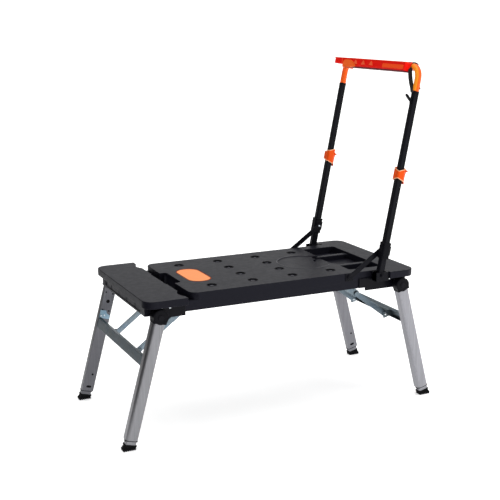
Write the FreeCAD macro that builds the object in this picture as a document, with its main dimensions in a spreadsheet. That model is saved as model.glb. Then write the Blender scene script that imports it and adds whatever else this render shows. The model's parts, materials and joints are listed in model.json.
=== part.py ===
import FreeCAD, Part
import Sketcher
import os
import re

# Folding work platform bench.  X runs along the deck, Y across it, Z up; the floor is Z = 0.
# "front" is the -Y side, "rear" the +Y side; the handle stands at the right (+X) end.

DIMENSIONS = {
    # deck
    "deck_length": 1000, "deck_width": 518, "deck_height": 478, "deck_thickness": 58,
    "deck_corner": 38, "body_length": 976, "body_width": 426, "wing_thickness": 24,
    "left_wing_edge": 342, "right_wing_edge": 394, "main_corner": 30,
    "shell_wall": 6, "plate_thickness": 9, "rib_pitch": 118, "rib_depth": 24,
    # channel that the folded crossbar drops into, and the hand notch beside it
    "channel_left": 357, "channel_right": 330, "channel_half_length": 205,
    "channel_end_top": 460, "wing_bite_radius": 51, "wing_bite_out": 318, "wing_bite_across": 200,
    "notch_depth": 24, "notch_half_width": 70, "notch_corner": 12,
    # work surface
    "dog_pitch_long": 150, "dog_pitch_wide": 97, "dog_first": 228, "dog_boss_low": 445,
    "dog_bore": 10, "dog_chamfer": 17, "dog_chamfer_depth": 5,
    "insert_centre": 233, "insert_length": 176, "insert_width": 84,
    "insert_corner": 40, "insert_depth": 4, "insert_gap": 0.3,
    "dish_centre": 196, "dish_radius": 96, "dish_depth": 2,
    "tray_left": 258, "tray_step": 285, "tray_right": 415, "tray_half_width": 168,
    "tray_depth": 24, "tray_rib": 22, "tray_rib_offset": 72, "tray_rib_drop": 7,
    "tray_shelf_depth": 12, "tray_corner": 8, "scoop_radius": 22,
    # legs
    "leg_pivot_out": 449, "leg_pivot_height": 424, "leg_lean": 15, "leg_width": 42,
    "leg_near": 227.5, "leg_far": 257.5, "leg_corner": 12, "leg_wall": 2,
    "leg_top": 20, "leg_end": 405, "foot_reach": 439, "foot_length": 44, "foot_thickness": 12,
    "cap_radius": 25.5, "pin_radius": 5, "plug_length": 30, "running_fit": 0.06,
    # cross channel between the two legs of a pair
    "cross_station": 151, "cross_height": 32, "cross_depth": 14, "cross_wall": 2,
    "gusset_height": 30, "scallop_radius": 17, "rivet_radius": 3,
    # folding braces
    "brace_offset": 12, "anchor_out": 262, "anchor_height": 436, "brace_slope": 36.89,
    "upper_link_length": 116.1, "lower_link_length": 152.1, "link_pin": 4,
    "upper_link_radius": 13, "lower_link_radius": 9,
    "anchor_near": 93.5, "upper_near": 98.5, "lower_near": 104.5, "lug_near": 110.5,
    "link_thickness": 5, "bracket_thickness": 4,
    # side plates and handle brackets
    "plate_near": 213, "side_plate": 5, "side_plate_low": 410, "handle_pin": 4,
    "plate_past_pivot": 22, "left_plate_inner": 351, "right_plate_inner": 295,
    "plate_step_out": 320, "plate_step_high": 421,
    "handle_pivot": 364.5, "handle_height": 467, "handle_lean": 11, "handle_across": 237,
    # handle
    "bracket_floor": 449.2, "bracket_low": 446, "bracket_reach": 22, "bracket_wall": 4,
    "handle_reach": 717, "tube_size": 22, "tube_corner": 4, "tube_wall": 1,
    "tube_start": 11, "clamp_station": 350, "clamp_length": 50, "upper_tube": 19.4,
    "upper_corner": 2.5, "lever_pin": 2.5, "cam_radius": 4.6, "lever_offset": 9,
    "upper_overlap": 300, "grip_start": 634.5, "grip_radius": 11, "grip_bend": 40,
    "grip_wall": 1.5,
    # stays and sliding collars
    "stay_base_x": 257, "stay_base_height": 465, "stay_near": 216.5, "stay_thickness": 4,
    "stay_radius": 9, "stay_length": 151.07, "stay_slope": 34.89,
    "collar_station": 86, "collar_length": 56, "collar_size": 31, "collar_gap": 0.4,
    # handle tray, strap and hook
    "bin_half_length": 200, "bin_ahead": 38, "bin_behind": 13, "bin_below": 13,
    "bin_above": 9, "saddle_above": 13, "bin_rear_reach": 260, "bin_wall": 2,
    "strap_thickness": 2, "strap_width": 14,
    "strap_near": 212, "strap_half": 16, "strap_drop": 22,
    "hook_station": 592, "hook_length": 28, "hook_radius": 3.5, "hook_tilt": 51, "hook_base": 3,
}

document = FreeCAD.newDocument("work_platform")
sheet = document.addObject("Spreadsheet::Sheet", "dims")
for row, (alias, value) in enumerate(DIMENSIONS.items(), start=1):
    sheet.set(f"A{row}", str(value))
    sheet.setAlias(f"A{row}", alias)
document.recompute()

SUBPARTS = []
LEFT, RIGHT = -1, 1
SIDES = {"left": LEFT, "right": RIGHT}
FRONT, REAR = -1, 1
FLANKS = {"front": FRONT, "rear": REAR}


# ---------------------------------------------------------------- helpers
def formula(text):
    """Turn plain dimension names into references to the spreadsheet."""
    return re.sub(r"[a-z_]{4,}(?!\()", lambda word: "dims." + word.group()
                  if word.group() in DIMENSIONS else word.group(), str(text))


def bind(thing, prop, text):
    thing.setExpression(prop, formula(text))


def move(thing, x=0, y=0, z=0, about=None, angle=0):
    """Give an object a placement: a position, and a turn about one axis."""
    for axis, value in zip("xyz", (x, y, z)):
        bind(thing, f".Placement.Base.{axis}", value)
    if about:
        thing.Placement.Rotation = FreeCAD.Rotation(FreeCAD.Vector(*about), 10)
        for axis, value in zip("xyz", about):
            bind(thing, f".Placement.Rotation.Axis.{axis}", value)
        bind(thing, ".Placement.Rotation.Angle", angle)
    return thing


def flank_span(flank, near, far):
    """The stretch of Y from near to far, on the front or the rear."""
    return (near, far) if flank == REAR else (f"-({far})", f"-({near})")


def side_span(side, near, far):
    """The stretch of X from near to far, on the left or the right."""
    return (near, far) if side == RIGHT else (f"-({far})", f"-({near})")


def block(name, x, y, z):
    """A box between two formulas along each axis."""
    box = document.addObject("Part::Box", name)
    for prop, span in (("Length", x), ("Width", y), ("Height", z)):
        bind(box, prop, f"({span[1]}) - ({span[0]})")
    return move(box, x[0], y[0], z[0])


AXIS_TURNS = {"x": ((0, 1, 0), 90), "y": ((1, 0, 0), -90), "z": (None, 0)}


def rod(name, axis, radius, start, length):
    """A cylinder that begins at start and runs along one axis."""
    cylinder = document.addObject("Part::Cylinder", name)
    bind(cylinder, "Radius", radius)
    bind(cylinder, "Height", length)
    about, angle = AXIS_TURNS[axis]
    return move(cylinder, *start, about=about, angle=angle)


def across(name, radius, x, y, z):
    """A rod along Y between the two ends of the span y."""
    return rod(name, "y", radius, (x, y[0], z), f"({y[1]}) - ({y[0]})")


def slab(name, x, y, z, radius, corners="all"):
    """A pad with rounded upright corners; corners picks left, right, outer or all of them."""
    body = document.addObject("PartDesign::Body", name)
    sketch = body.newObject("Sketcher::SketchObject", name + "_outline")
    plane = [item for item in body.Origin.OriginFeatures if item.Role == "XY_Plane"][0]
    sketch.AttachmentSupport = (plane, [""])
    sketch.MapMode = "FlatFace"
    for axis, span in zip("xyz", (x, y, z)):
        bind(sketch, f"AttachmentOffset.Base.{axis}", span[0])
    add_rectangle(sketch, f"({x[1]}) - ({x[0]})", f"({y[1]}) - ({y[0]})")
    pad = body.newObject("PartDesign::Pad", name + "_pad")
    pad.Profile = sketch
    bind(pad, "Length", f"({z[1]}) - ({z[0]})")
    body.Tip = pad
    document.recompute()
    upright = upright_edges(pad.Shape, corners)
    fillet = body.newObject("PartDesign::Fillet", name + "_corners")
    fillet.Base = (pad, upright)
    bind(fillet, "Radius", radius)
    body.Tip = fillet
    return body


def add_rectangle(sketch, length, width):
    corners = [FreeCAD.Vector(0, 0), FreeCAD.Vector(10, 0), FreeCAD.Vector(10, 10), FreeCAD.Vector(0, 10)]
    for first, second in zip(corners, corners[1:] + corners[:1]):
        sketch.addGeometry(Part.LineSegment(first, second))
    for line in range(4):
        sketch.addConstraint(Sketcher.Constraint("Coincident", line, 2, (line + 1) % 4, 1))
        sketch.addConstraint(Sketcher.Constraint("Horizontal" if line % 2 == 0 else "Vertical", line))
    sketch.addConstraint(Sketcher.Constraint("Coincident", 0, 1, -1, 1))
    for name, line, size in (("DistanceX", 0, length), ("DistanceY", 1, width)):
        index = sketch.addConstraint(Sketcher.Constraint(name, line, 1, line, 2, 10))
        bind(sketch, f"Constraints[{index}]", size)


def upright_edges(shape, corners):
    """Names of the upright edges at the wanted corners of a pad."""
    middle = shape.BoundBox.Center
    names = []
    for number, edge in enumerate(shape.Edges, start=1):
        box = edge.BoundBox
        if box.ZLength < 1e-6 or box.XLength > 1e-6 or box.YLength > 1e-6:
            continue
        keep = {
            "all": True,
            "left": box.Center.x < middle.x,
            "right": box.Center.x > middle.x,
            "outer": abs(box.Center.y) > abs(middle.y),
        }[corners]
        if keep:
            names.append(f"Edge{number}")
    return names


def join(name, pieces):
    fuse = document.addObject("Part::MultiFuse", name)
    fuse.Shapes = pieces
    fuse.Refine = True
    return fuse


def carve(name, base, tools):
    cut = document.addObject("Part::Cut", name)
    cut.Base = base
    cut.Tool = tools[0] if len(tools) == 1 else join(name + "_cutter", tools)
    return cut


def group(name, pieces):
    """Separate solids that share one node."""
    compound = document.addObject("Part::Compound", name)
    compound.Links = pieces
    return compound


def keep(label, thing):
    """Register a finished sub-part under its node name."""
    thing.Label = label
    SUBPARTS.append(thing)
    return thing


# ---------------------------------------------------------------- deck
DECK_TOP = "deck_height"
DECK_LOW = "deck_height - deck_thickness"
WING_LOW = "deck_height - wing_thickness"
PLATE_LOW = "deck_height - plate_thickness"
CHANNEL = ("-channel_left", "-channel_right")
ABOVE = "deck_height + 5"


def symmetric(half):
    return (f"-({half})", half)


def deck_outside():
    """Main slab, end wings and the deep body below them."""
    body = block("deck_body", symmetric("body_length / 2"), symmetric("body_width / 2"), (DECK_LOW, WING_LOW))
    main = slab("deck_main", (CHANNEL[1], "right_wing_edge + 20"), symmetric("body_width / 2"),
                (WING_LOW, DECK_TOP), "main_corner", "left")
    right = slab("deck_right_wing", ("right_wing_edge", "deck_length / 2"), symmetric("deck_width / 2"),
                 (WING_LOW, DECK_TOP), "deck_corner", "right")
    left = slab("deck_left_blank", ("-deck_length / 2", "-left_wing_edge"), symmetric("deck_width / 2"),
                (WING_LOW, DECK_TOP), "deck_corner", "left")
    inner_edge = [block("wing_inner_edge", (CHANNEL[0], "0"), symmetric("deck_width / 2 + 1"),
                        (f"{WING_LOW} - 1", ABOVE))]
    for name, flank in FLANKS.items():
        centre = ("-wing_bite_out", f"{flank} * wing_bite_across", f"{WING_LOW} - 1")
        inner_edge.append(rod(f"wing_bite_{name}", "z", "wing_bite_radius", centre, "wing_thickness + 6"))
    return join("deck_outside", [body, main, right, carve("deck_left_wing", left, inner_edge)])


def dog_grid():
    """Two full columns of four holes, and two columns with only the outer rows."""
    return [(column, row) for column in range(4) for row in range(4)
            if column in (1, 2) or row in (0, 3)]


def dog_place(column, row):
    return f"{column} * dog_pitch_long - dog_first", f"({row} - 1.5) * dog_pitch_wide"


def dog_holes():
    holes = []
    for column, row in dog_grid():
        x, y = dog_place(column, row)
        holes.append(rod(f"dog_{column}{row}", "z", "dog_bore", (x, y, DECK_LOW), "deck_thickness + 1"))
        rim = document.addObject("Part::Cone", f"dog_rim_{column}{row}")
        bind(rim, "Radius1", "dog_bore")
        bind(rim, "Radius2", "dog_chamfer + 1")
        bind(rim, "Height", "dog_chamfer_depth + 1")
        holes.append(move(rim, x, y, "deck_height - dog_chamfer_depth"))
    return holes


def tray_floor(depth):
    return f"deck_height - {depth}"


def tool_tray_cuts():
    """Three pockets with two low ribs between them; the middle one has a shelf and a thumb scoop."""
    rib_in = "tray_rib_offset - tray_rib / 2"
    rib_out = "tray_rib_offset + tray_rib / 2"
    cuts = []
    for name, flank in FLANKS.items():
        span = flank_span(flank, rib_out, "tray_half_width")
        cuts.append(slab(f"tray_{name}", ("tray_step", "tray_right"), span,
                         (tray_floor("tray_depth"), ABOVE), "tray_corner"))
    cuts.append(slab("tray_middle", ("tray_left + 40", "tray_right"), symmetric(rib_in),
                     (tray_floor("tray_depth"), ABOVE), "tray_corner"))
    cuts.append(slab("tray_shelf", ("tray_left", "tray_left + 60"), symmetric(rib_in),
                     (tray_floor("tray_shelf_depth"), ABOVE), "tray_corner"))
    cuts.append(slab("tray_rib_tops", ("tray_step", "tray_right"), symmetric("tray_half_width"),
                     (tray_floor("tray_rib_drop"), ABOVE), "tray_corner"))
    cuts.append(rod("tray_scoop", "z", "scoop_radius", ("tray_left + 2", 0, tray_floor("tray_shelf_depth")),
                    "tray_depth"))
    return cuts


def underside_hollow():
    """The space under the work surface, with walls kept round the channel and the tool tray."""
    inner = "body_width / 2 - shell_wall"
    hollow = block("hollow", symmetric("body_length / 2 - shell_wall"), symmetric(inner),
                   (f"{DECK_LOW} - 1", PLATE_LOW))
    kept = [
        block("channel_shell", (f"{CHANNEL[0]} - 4", f"{CHANNEL[1]} + 4"), symmetric("body_width / 2"),
              (DECK_LOW, DECK_TOP)),
        block("notch_shell", (CHANNEL[1], f"{CHANNEL[1]} + notch_depth + 4"),
              symmetric("notch_half_width + 4"), (DECK_LOW, DECK_TOP)),
        block("front_corner_shell", (CHANNEL[1], f"{CHANNEL[1]} + main_corner"),
              flank_span(FRONT, "body_width / 2 - main_corner", "body_width / 2"),
              (f"{WING_LOW} - shell_wall", DECK_TOP)),
        block("rear_corner_shell", (CHANNEL[1], f"{CHANNEL[1]} + main_corner"),
              flank_span(REAR, "body_width / 2 - main_corner", "body_width / 2"),
              (f"{WING_LOW} - shell_wall", DECK_TOP)),
        block("tray_shell", ("tray_left - 28", "tray_right + 4"), symmetric("tray_half_width + 4"),
              (f"{tray_floor('tray_depth')} - 4", DECK_TOP)),
    ]
    for column, row in dog_grid():
        x, y = dog_place(column, row)
        kept.append(rod(f"dog_boss_{column}{row}", "z", "dog_bore + 5", (x, y, "dog_boss_low"),
                        f"{DECK_TOP} - dog_boss_low"))
    rib_z = (f"{PLATE_LOW} - rib_depth", PLATE_LOW)
    for number in (-1, 0, 1):
        place = f"{number} * rib_pitch"
        kept.append(block(f"cross_rib_{number + 1}", (f"{place} - 2", f"{place} + 2"), symmetric(inner),
                          rib_z))
        place = f"{number} * dog_pitch_wide"
        kept.append(block(f"long_rib_{number + 1}", symmetric("rib_pitch"), (f"{place} - 2", f"{place} + 2"),
                          rib_z))
    return carve("deck_hollow", hollow, kept)


def make_deck():
    notch = slab("hand_notch", (f"{CHANNEL[1]} - 30", f"{CHANNEL[1]} + notch_depth"),
                 symmetric("notch_half_width"), (f"{WING_LOW} - 16", ABOVE), "notch_corner", "right")
    channel = block("crossbar_channel", CHANNEL, symmetric("channel_half_length"),
                    (f"{DECK_LOW} + 4", ABOVE))
    ends = block("crossbar_channel_ends", CHANNEL, symmetric("body_width / 2 + 1"),
                 ("channel_end_top", ABOVE))
    insert = slab("insert_recess",
                  symmetric("insert_width / 2"), symmetric("insert_length / 2"),
                  ("deck_height - insert_depth", ABOVE), "insert_corner")
    move(insert, x="-insert_centre")
    dish = rod("dish", "z", "dish_radius", ("dish_centre", 0, "deck_height - dish_depth"), 10)
    end_panel = block("end_panel", ("-body_length / 2 - 1", "-body_length / 2 + 2"),
                      symmetric("body_width / 2 - 40"), (f"{DECK_LOW} + 8", f"{WING_LOW} - 8"))
    cuts = [underside_hollow(), notch, channel, ends, insert, dish, end_panel]
    cuts += dog_holes() + tool_tray_cuts()
    keep("deck", carve("deck", deck_outside(), cuts))


def make_insert():
    pad = slab("insert_pad", symmetric("insert_width / 2 - insert_gap"),
               symmetric("insert_length / 2 - insert_gap"), (0, "insert_depth - 0.5"),
               "insert_corner - insert_gap")
    keep("deck_insert", move(pad, "-insert_centre", 0, "deck_height - insert_depth"))


# ---------------------------------------------------------------- fixed brackets and pins
PLATE_FAR = "plate_near + side_plate"


def make_side_plates():
    """Steel plates on the body's flanks; each carries a leg pivot, and the right pair clears a folded leg."""
    for side_name, side in SIDES.items():
        inner_end = f"{side_name}_plate_inner"
        for flank_name, flank in FLANKS.items():
            name = f"{side_name}_{flank_name}_side_plate"
            y = flank_span(flank, "plate_near", PLATE_FAR)
            plate = slab(name + "_blank", side_span(side, inner_end, "leg_pivot_out + plate_past_pivot"), y,
                         ("side_plate_low", WING_LOW), 2)
            bore = across(name + "_bore", "pin_radius + running_fit", f"{side} * leg_pivot_out", y,
                          "leg_pivot_height")
            cuts = [bore]
            if side == RIGHT:
                cuts.append(block(name + "_step", (f"{inner_end} - 1", "plate_step_out"), y,
                                  ("side_plate_low - 1", "plate_step_high")))
            keep(name, carve(name, plate, cuts))


def make_leg_pins():
    pins = []
    for side_name, side in SIDES.items():
        for flank_name, flank in FLANKS.items():
            x = f"{side} * leg_pivot_out"
            shank = across(f"pin_{side_name}_{flank_name}", "pin_radius", x,
                           flank_span(flank, "plate_near", "leg_far + 2"), "leg_pivot_height")
            head = across(f"pin_head_{side_name}_{flank_name}", "pin_radius + 4", x,
                          flank_span(flank, "leg_far + 1", "leg_far + 3"), "leg_pivot_height")
            pins.append(join(f"leg_pin_{side_name}_{flank_name}", [shank, head]))
    keep("leg_pivot_pins", group("leg_pivot_pins", pins))


TUBE_HALF = "tube_size / 2"


def make_handle_brackets():
    """U brackets that stand in the gap beside the right wing and hold the handle's pivots."""
    near = f"handle_across - {TUBE_HALF}"
    far = f"handle_across + {TUBE_HALF}"
    start = "handle_pivot - bracket_reach"
    for name, flank in FLANKS.items():
        span = flank_span(flank, f"{near} - bracket_wall", f"{far} + bracket_wall")
        blank = slab(f"{name}_bracket_blank", (start, "right_wing_edge"), span,
                     ("bracket_low", "handle_height + 11"), 3)
        gap = block(f"{name}_bracket_gap", (f"{start} - 1", f"handle_pivot + {TUBE_HALF} + 9"),
                    flank_span(flank, f"{near} - 0.5", f"{far} + 0.5"), ("bracket_floor", ABOVE))
        bore = across(f"{name}_bracket_bore", "handle_pin + running_fit", "handle_pivot", span,
                      "handle_height")
        keep(f"{name}_handle_bracket", carve(f"{name}_handle_bracket", blank, [gap, bore]))


def make_handle_pins():
    pins = []
    for name, flank in FLANKS.items():
        span = flank_span(flank, f"handle_across - {TUBE_HALF} - 4", "deck_width / 2")
        shank = across(f"handle_pin_{name}", "handle_pin", "handle_pivot", span, "handle_height")
        span = flank_span(flank, f"handle_across + {TUBE_HALF} + 4", f"handle_across + {TUBE_HALF} + 7")
        head = across(f"handle_pin_head_{name}", "handle_pin + 3", "handle_pivot", span, "handle_height")
        pins.append(join(f"handle_pin_set_{name}", [shank, head]))
    keep("handle_pivot_pins", group("handle_pivot_pins", pins))


def make_stay_bases():
    brackets, pins = [], []
    for name, flank in FLANKS.items():
        span = flank_span(flank, "plate_near", "stay_near - 0.5")
        plate = slab(f"stay_plate_{name}", ("stay_base_x - 15", "stay_base_x + 15"), span,
                     ("stay_base_height - 14", "stay_base_height + 11"), 1)
        bore = across(f"stay_plate_bore_{name}", "link_pin + running_fit", "stay_base_x", span,
                      "stay_base_height")
        brackets.append(carve(f"stay_bracket_{name}", plate, [bore]))
        pins.append(across(f"stay_pin_{name}", "link_pin", "stay_base_x",
                           flank_span(flank, "plate_near", "stay_near + stay_thickness"), "stay_base_height"))
    keep("stay_base_brackets", group("stay_base_brackets", brackets))
    keep("stay_base_pins", group("stay_base_pins", pins))


def make_brace_anchors():
    """Angle brackets under the deck that carry the upper brace links."""
    anchors, pins = [], []
    tops = {"left": PLATE_LOW, "right": f"{tray_floor('tray_depth')} - 4"}
    for side_name, side in SIDES.items():
        x = side_span(side, "anchor_out - 14", "anchor_out + 14")
        centre = f"{side} * anchor_out"
        for flank_name, flank in FLANKS.items():
            name = f"anchor_{side_name}_{flank_name}"
            far = "anchor_near + bracket_thickness"
            cheek = block(name + "_cheek", x, flank_span(flank, "anchor_near", far),
                          ("anchor_height - 12", tops[side_name]))
            foot = block(name + "_foot", x, flank_span(flank, "anchor_near - 24", far),
                         (f"{tops[side_name]} - 3", tops[side_name]))
            span = flank_span(flank, "anchor_near", "upper_near + link_thickness")
            bore = across(name + "_bore", "link_pin + running_fit", centre, span, "anchor_height")
            anchors.append(carve(name, join(name + "_blank", [cheek, foot]), [bore]))
            pins.append(across(name + "_pin", "link_pin", centre, span, "anchor_height"))
    keep("brace_anchors", group("brace_anchors", anchors))
    keep("brace_anchor_pins", group("brace_anchor_pins", pins))


# ---------------------------------------------------------------- leg frames
def lean_in_place(side, thing):
    """Stand a leg piece, drawn hanging from its pivot, at its splayed angle."""
    return move(thing, f"{side} * leg_pivot_out", 0, "leg_pivot_height",
                about=(0, 1, 0), angle=f"{-side} * leg_lean")


def leg_tube(side, name, flank):
    x = symmetric("leg_width / 2")
    z = ("-leg_end", "-leg_top")
    outer = slab(name + "_outer", x, flank_span(flank, "leg_near", "leg_far"), z, "leg_corner", "outer")
    bore = slab(name + "_bore", symmetric("leg_width / 2 - leg_wall"),
                flank_span(flank, "leg_near + leg_wall", "leg_far - leg_wall"),
                ("-leg_end - 1", "-leg_top + 1"), "leg_corner - leg_wall", "outer")
    keep(name, lean_in_place(side, carve(name, outer, [bore])))


def leg_cap(side, name, flank):
    """Moulded knuckle that closes the tube and turns on the pivot pin."""
    wide = flank_span(flank, "leg_near - 1", "leg_far + 0.5")
    wheel = across(name + "_wheel", "cap_radius", 0, wide, 0)
    below = block(name + "_below", symmetric("leg_width"), symmetric("leg_far + 1"),
                  ("-leg_top - leg_width", "-leg_top"))
    knuckle = carve(name + "_knuckle", wheel, [below])
    neck = block(name + "_neck", symmetric("leg_width / 2 + 2"), wide, ("-leg_top", "0"))
    plug = slab(name + "_plug", symmetric("leg_width / 2 - leg_wall - 0.4"),
                flank_span(flank, "leg_near + leg_wall + 0.4", "leg_far - leg_wall - 0.4"),
                ("-leg_top - plug_length", "-leg_top"), "leg_corner - leg_wall", "outer")
    bore = across(name + "_bore", "pin_radius + running_fit", 0, wide, 0)
    keep(name, lean_in_place(side, carve(name, join(name + "_solid", [knuckle, neck, plug]), [bore])))


def leg_foot(side, name, flank):
    """Rubber shoe: a cup on the end of the leg and a flat pad on the floor."""
    pad = slab(name + "_pad",
               side_span(side, "leg_pivot_out + foot_reach * sin(leg_lean * 1 deg) - foot_length / 2",
                         "leg_pivot_out + foot_reach * sin(leg_lean * 1 deg) + foot_length / 2"),
               flank_span(flank, "leg_near + 2", "leg_far"), (0, "foot_thickness"), 6)
    cup = slab(name + "_cup", symmetric("leg_width / 2 - 1"),
               flank_span(flank, "leg_near + 2", "leg_far - 1"), ("-foot_reach + 8", "-leg_end"),
               "leg_corner - leg_wall", "outer")
    plug = slab(name + "_plug", symmetric("leg_width / 2 - leg_wall - 0.4"),
                flank_span(flank, "leg_near + leg_wall + 0.4", "leg_far - leg_wall - 0.4"),
                ("-leg_end", "-leg_end + 25"), "leg_corner - leg_wall", "outer")
    shank = join(name + "_shank", [cup, plug])
    keep(name, join(name, [pad, lean_in_place(side, shank)]))


CROSS = ("-cross_station - cross_height / 2", "-cross_station + cross_height / 2")


def cross_channel(side, name):
    """C channel between the legs, with a lug near each end for the lower brace links."""
    far = "leg_width / 2 - 1"
    near = f"{far} - cross_depth"
    span = symmetric("leg_near")
    outer = block(name + "_outer", side_span(side, near, far), span, CROSS)
    hollow = block(name + "_hollow", side_span(side, f"{near} - 1", f"{far} - cross_wall"),
                   symmetric("leg_near + 1"), (f"{CROSS[0]} + cross_wall", f"{CROSS[1]} - cross_wall"))
    pieces = [carve(name + "_section", outer, [hollow])]
    bores = []
    for flank_name, flank in FLANKS.items():
        y = flank_span(flank, "lug_near", "lug_near + bracket_thickness")
        x = side_span(side, "-brace_offset - lower_link_radius - 1", f"{far} - 1")
        pieces.append(block(f"{name}_lug_{flank_name}", x, y, ("-cross_station - 11", "-cross_station + 11")))
        bores.append(across(f"{name}_bore_{flank_name}", "link_pin + running_fit",
                            f"{-side} * brace_offset", y, "-cross_station"))
    keep(name, lean_in_place(side, carve(name, join(name + "_solid", pieces), bores)))


def frame_gussets(side, name):
    """Corner plates riveted to the legs' inner faces above the cross channel."""
    plates = []
    for flank_name, flank in FLANKS.items():
        y = flank_span(flank, "leg_near - 2.4", "leg_near - 0.1")
        x = side_span(side, "-leg_width / 2 + 2", "leg_width / 2 - 1")
        plate = block(f"{name}_{flank_name}_blank", x, y,
                      (f"{CROSS[1]} + 0.2", f"{CROSS[1]} + gusset_height"))
        scallop = across(f"{name}_{flank_name}_scallop", "scallop_radius", f"{-side} * (leg_width / 2 - 2)",
                         y, f"{CROSS[1]} + gusset_height + 2")
        plates.append(carve(f"{name}_{flank_name}", plate, [scallop]))
    keep(name, lean_in_place(side, group(name, plates)))


def frame_rivets(side, name):
    """Pins of the lower brace links, and rivets in the gussets."""
    pieces = []
    for flank_name, flank in FLANKS.items():
        pieces.append(across(f"{name}_pin_{flank_name}", "link_pin", f"{-side} * brace_offset",
                             flank_span(flank, "lower_near", "lug_near + bracket_thickness"),
                             "-cross_station"))
        for number in range(2):
            x = f"{side} * (14 - {number} * 12)"
            pieces.append(across(f"{name}_{flank_name}_{number}", "rivet_radius", x,
                                 flank_span(flank, "leg_near - 4", "leg_near - 2.5"),
                                 f"{CROSS[1]} + 8 + {number} * 4"))
    keep(name, lean_in_place(side, group(name, pieces)))


def make_leg_frames():
    for side_name, side in SIDES.items():
        for flank_name, flank in FLANKS.items():
            leg_tube(side, f"{side_name}_{flank_name}_leg", flank)
            leg_cap(side, f"{side_name}_{flank_name}_leg_cap", flank)
            leg_foot(side, f"{side_name}_{flank_name}_foot", flank)
        cross_channel(side, f"{side_name}_cross_channel")
        frame_gussets(side, f"{side_name}_gussets")
        frame_rivets(side, f"{side_name}_frame_rivets")


# ---------------------------------------------------------------- folding braces
def link(name, y, length, radius):
    """Flat bar along +X with round ends; it turns on a pin at the origin."""
    bar = block(name + "_bar", (0, length), y, (f"-({radius})", radius))
    near = across(name + "_near_end", radius, 0, y, 0)
    far = across(name + "_far_end", radius, length, y, 0)
    bore = across(name + "_bore", "link_pin + running_fit", 0, y, 0)
    return carve(name, join(name + "_solid", [bar, near, far]), [bore])


def make_braces():
    for side_name, side in SIDES.items():
        knee_rivets = []
        turn = "brace_slope" if side == RIGHT else "180 - brace_slope"
        for flank_name, flank in FLANKS.items():
            name = f"{side_name}_{flank_name}_upper_link"
            y = flank_span(flank, "upper_near", "upper_near + link_thickness")
            upper = link(name, y, "upper_link_length", "upper_link_radius")
            move(upper, f"{side} * anchor_out", 0, "anchor_height", about=(0, 1, 0), angle=turn)
            keep(name, upper)
            rivet = across(name + "_rivet", "link_pin", "upper_link_length",
                           flank_span(flank, "upper_near - 2", "upper_near - 0.1"), 0)
            knee_rivets.append(rivet)
            make_lower_link(side_name, side, flank_name, flank)
        rivets = group(f"{side_name}_knee_rivets", knee_rivets)
        move(rivets, f"{side} * anchor_out", 0, "anchor_height", about=(0, 1, 0), angle=turn)
        keep(f"{side_name}_knee_rivets", rivets)


def make_lower_link(side_name, side, flank_name, flank):
    name = f"{side_name}_{flank_name}_lower_link"
    y = flank_span(flank, "lower_near", "lower_near + link_thickness")
    lower = link(name, y, "lower_link_length", "lower_link_radius")
    sine = "sin(leg_lean * 1 deg)"
    cosine = "cos(leg_lean * 1 deg)"
    x = f"{side} * (leg_pivot_out + cross_station * {sine} - brace_offset * {cosine})"
    z = f"leg_pivot_height - cross_station * {cosine} - brace_offset * {sine}"
    turn = "180 + brace_slope" if side == RIGHT else "-brace_slope"
    keep(name, move(lower, x, 0, z, about=(0, 1, 0), angle=turn))


# ---------------------------------------------------------------- handle
def lean_handle(thing):
    """Stand a handle piece, drawn rising from the pivot line, at its working angle."""
    return move(thing, "handle_pivot", 0, "handle_height", about=(0, 1, 0), angle="handle_lean")


def square_tube(name, flank, size, wall, z, corner):
    middle = f"{flank} * handle_across"
    half = f"({size}) / 2"
    outer = slab(name + "_outer", symmetric(half), (f"{middle} - {half}", f"{middle} + {half}"), z, corner)
    inside = f"{half} - {wall}"
    bore = slab(name + "_bore", symmetric(inside), (f"{middle} - ({inside})", f"{middle} + ({inside})"),
                (f"{z[0]} - 1", f"{z[1]} + 1"), f"{corner} - {wall}")
    return outer, bore


CLAMP = ("clamp_station - clamp_length / 2", "clamp_station + clamp_length / 2")
LEVER_PIVOT = (f"{TUBE_HALF} + lever_offset", f"{CLAMP[1]} - lever_offset")
EAR_SPAN = {name: flank_span(flank, "handle_across - 15", "handle_across + 15")
            for name, flank in FLANKS.items()}


def make_lower_handle():
    pins = []
    for name, flank in FLANKS.items():
        node = f"{name}_lower_tube"
        outer, bore = square_tube(node, flank, "tube_size", "tube_wall", ("-tube_start", "clamp_station"),
                                  "tube_corner")
        eye_span = flank_span(flank, f"handle_across - {TUBE_HALF} - 1", f"handle_across + {TUBE_HALF} + 1")
        eye = across(node + "_eye", "handle_pin + running_fit", 0, eye_span, 0)
        keep(node, lean_handle(carve(node, outer, [bore, eye])))
        make_clamp(name, flank)
        pins.append(across(f"clamp_pin_{name}", "lever_pin", LEVER_PIVOT[0], EAR_SPAN[name], LEVER_PIVOT[1]))
        make_clamp_lever(name, flank)
    keep("clamp_pins", lean_handle(group("clamp_pins", pins)))


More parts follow.
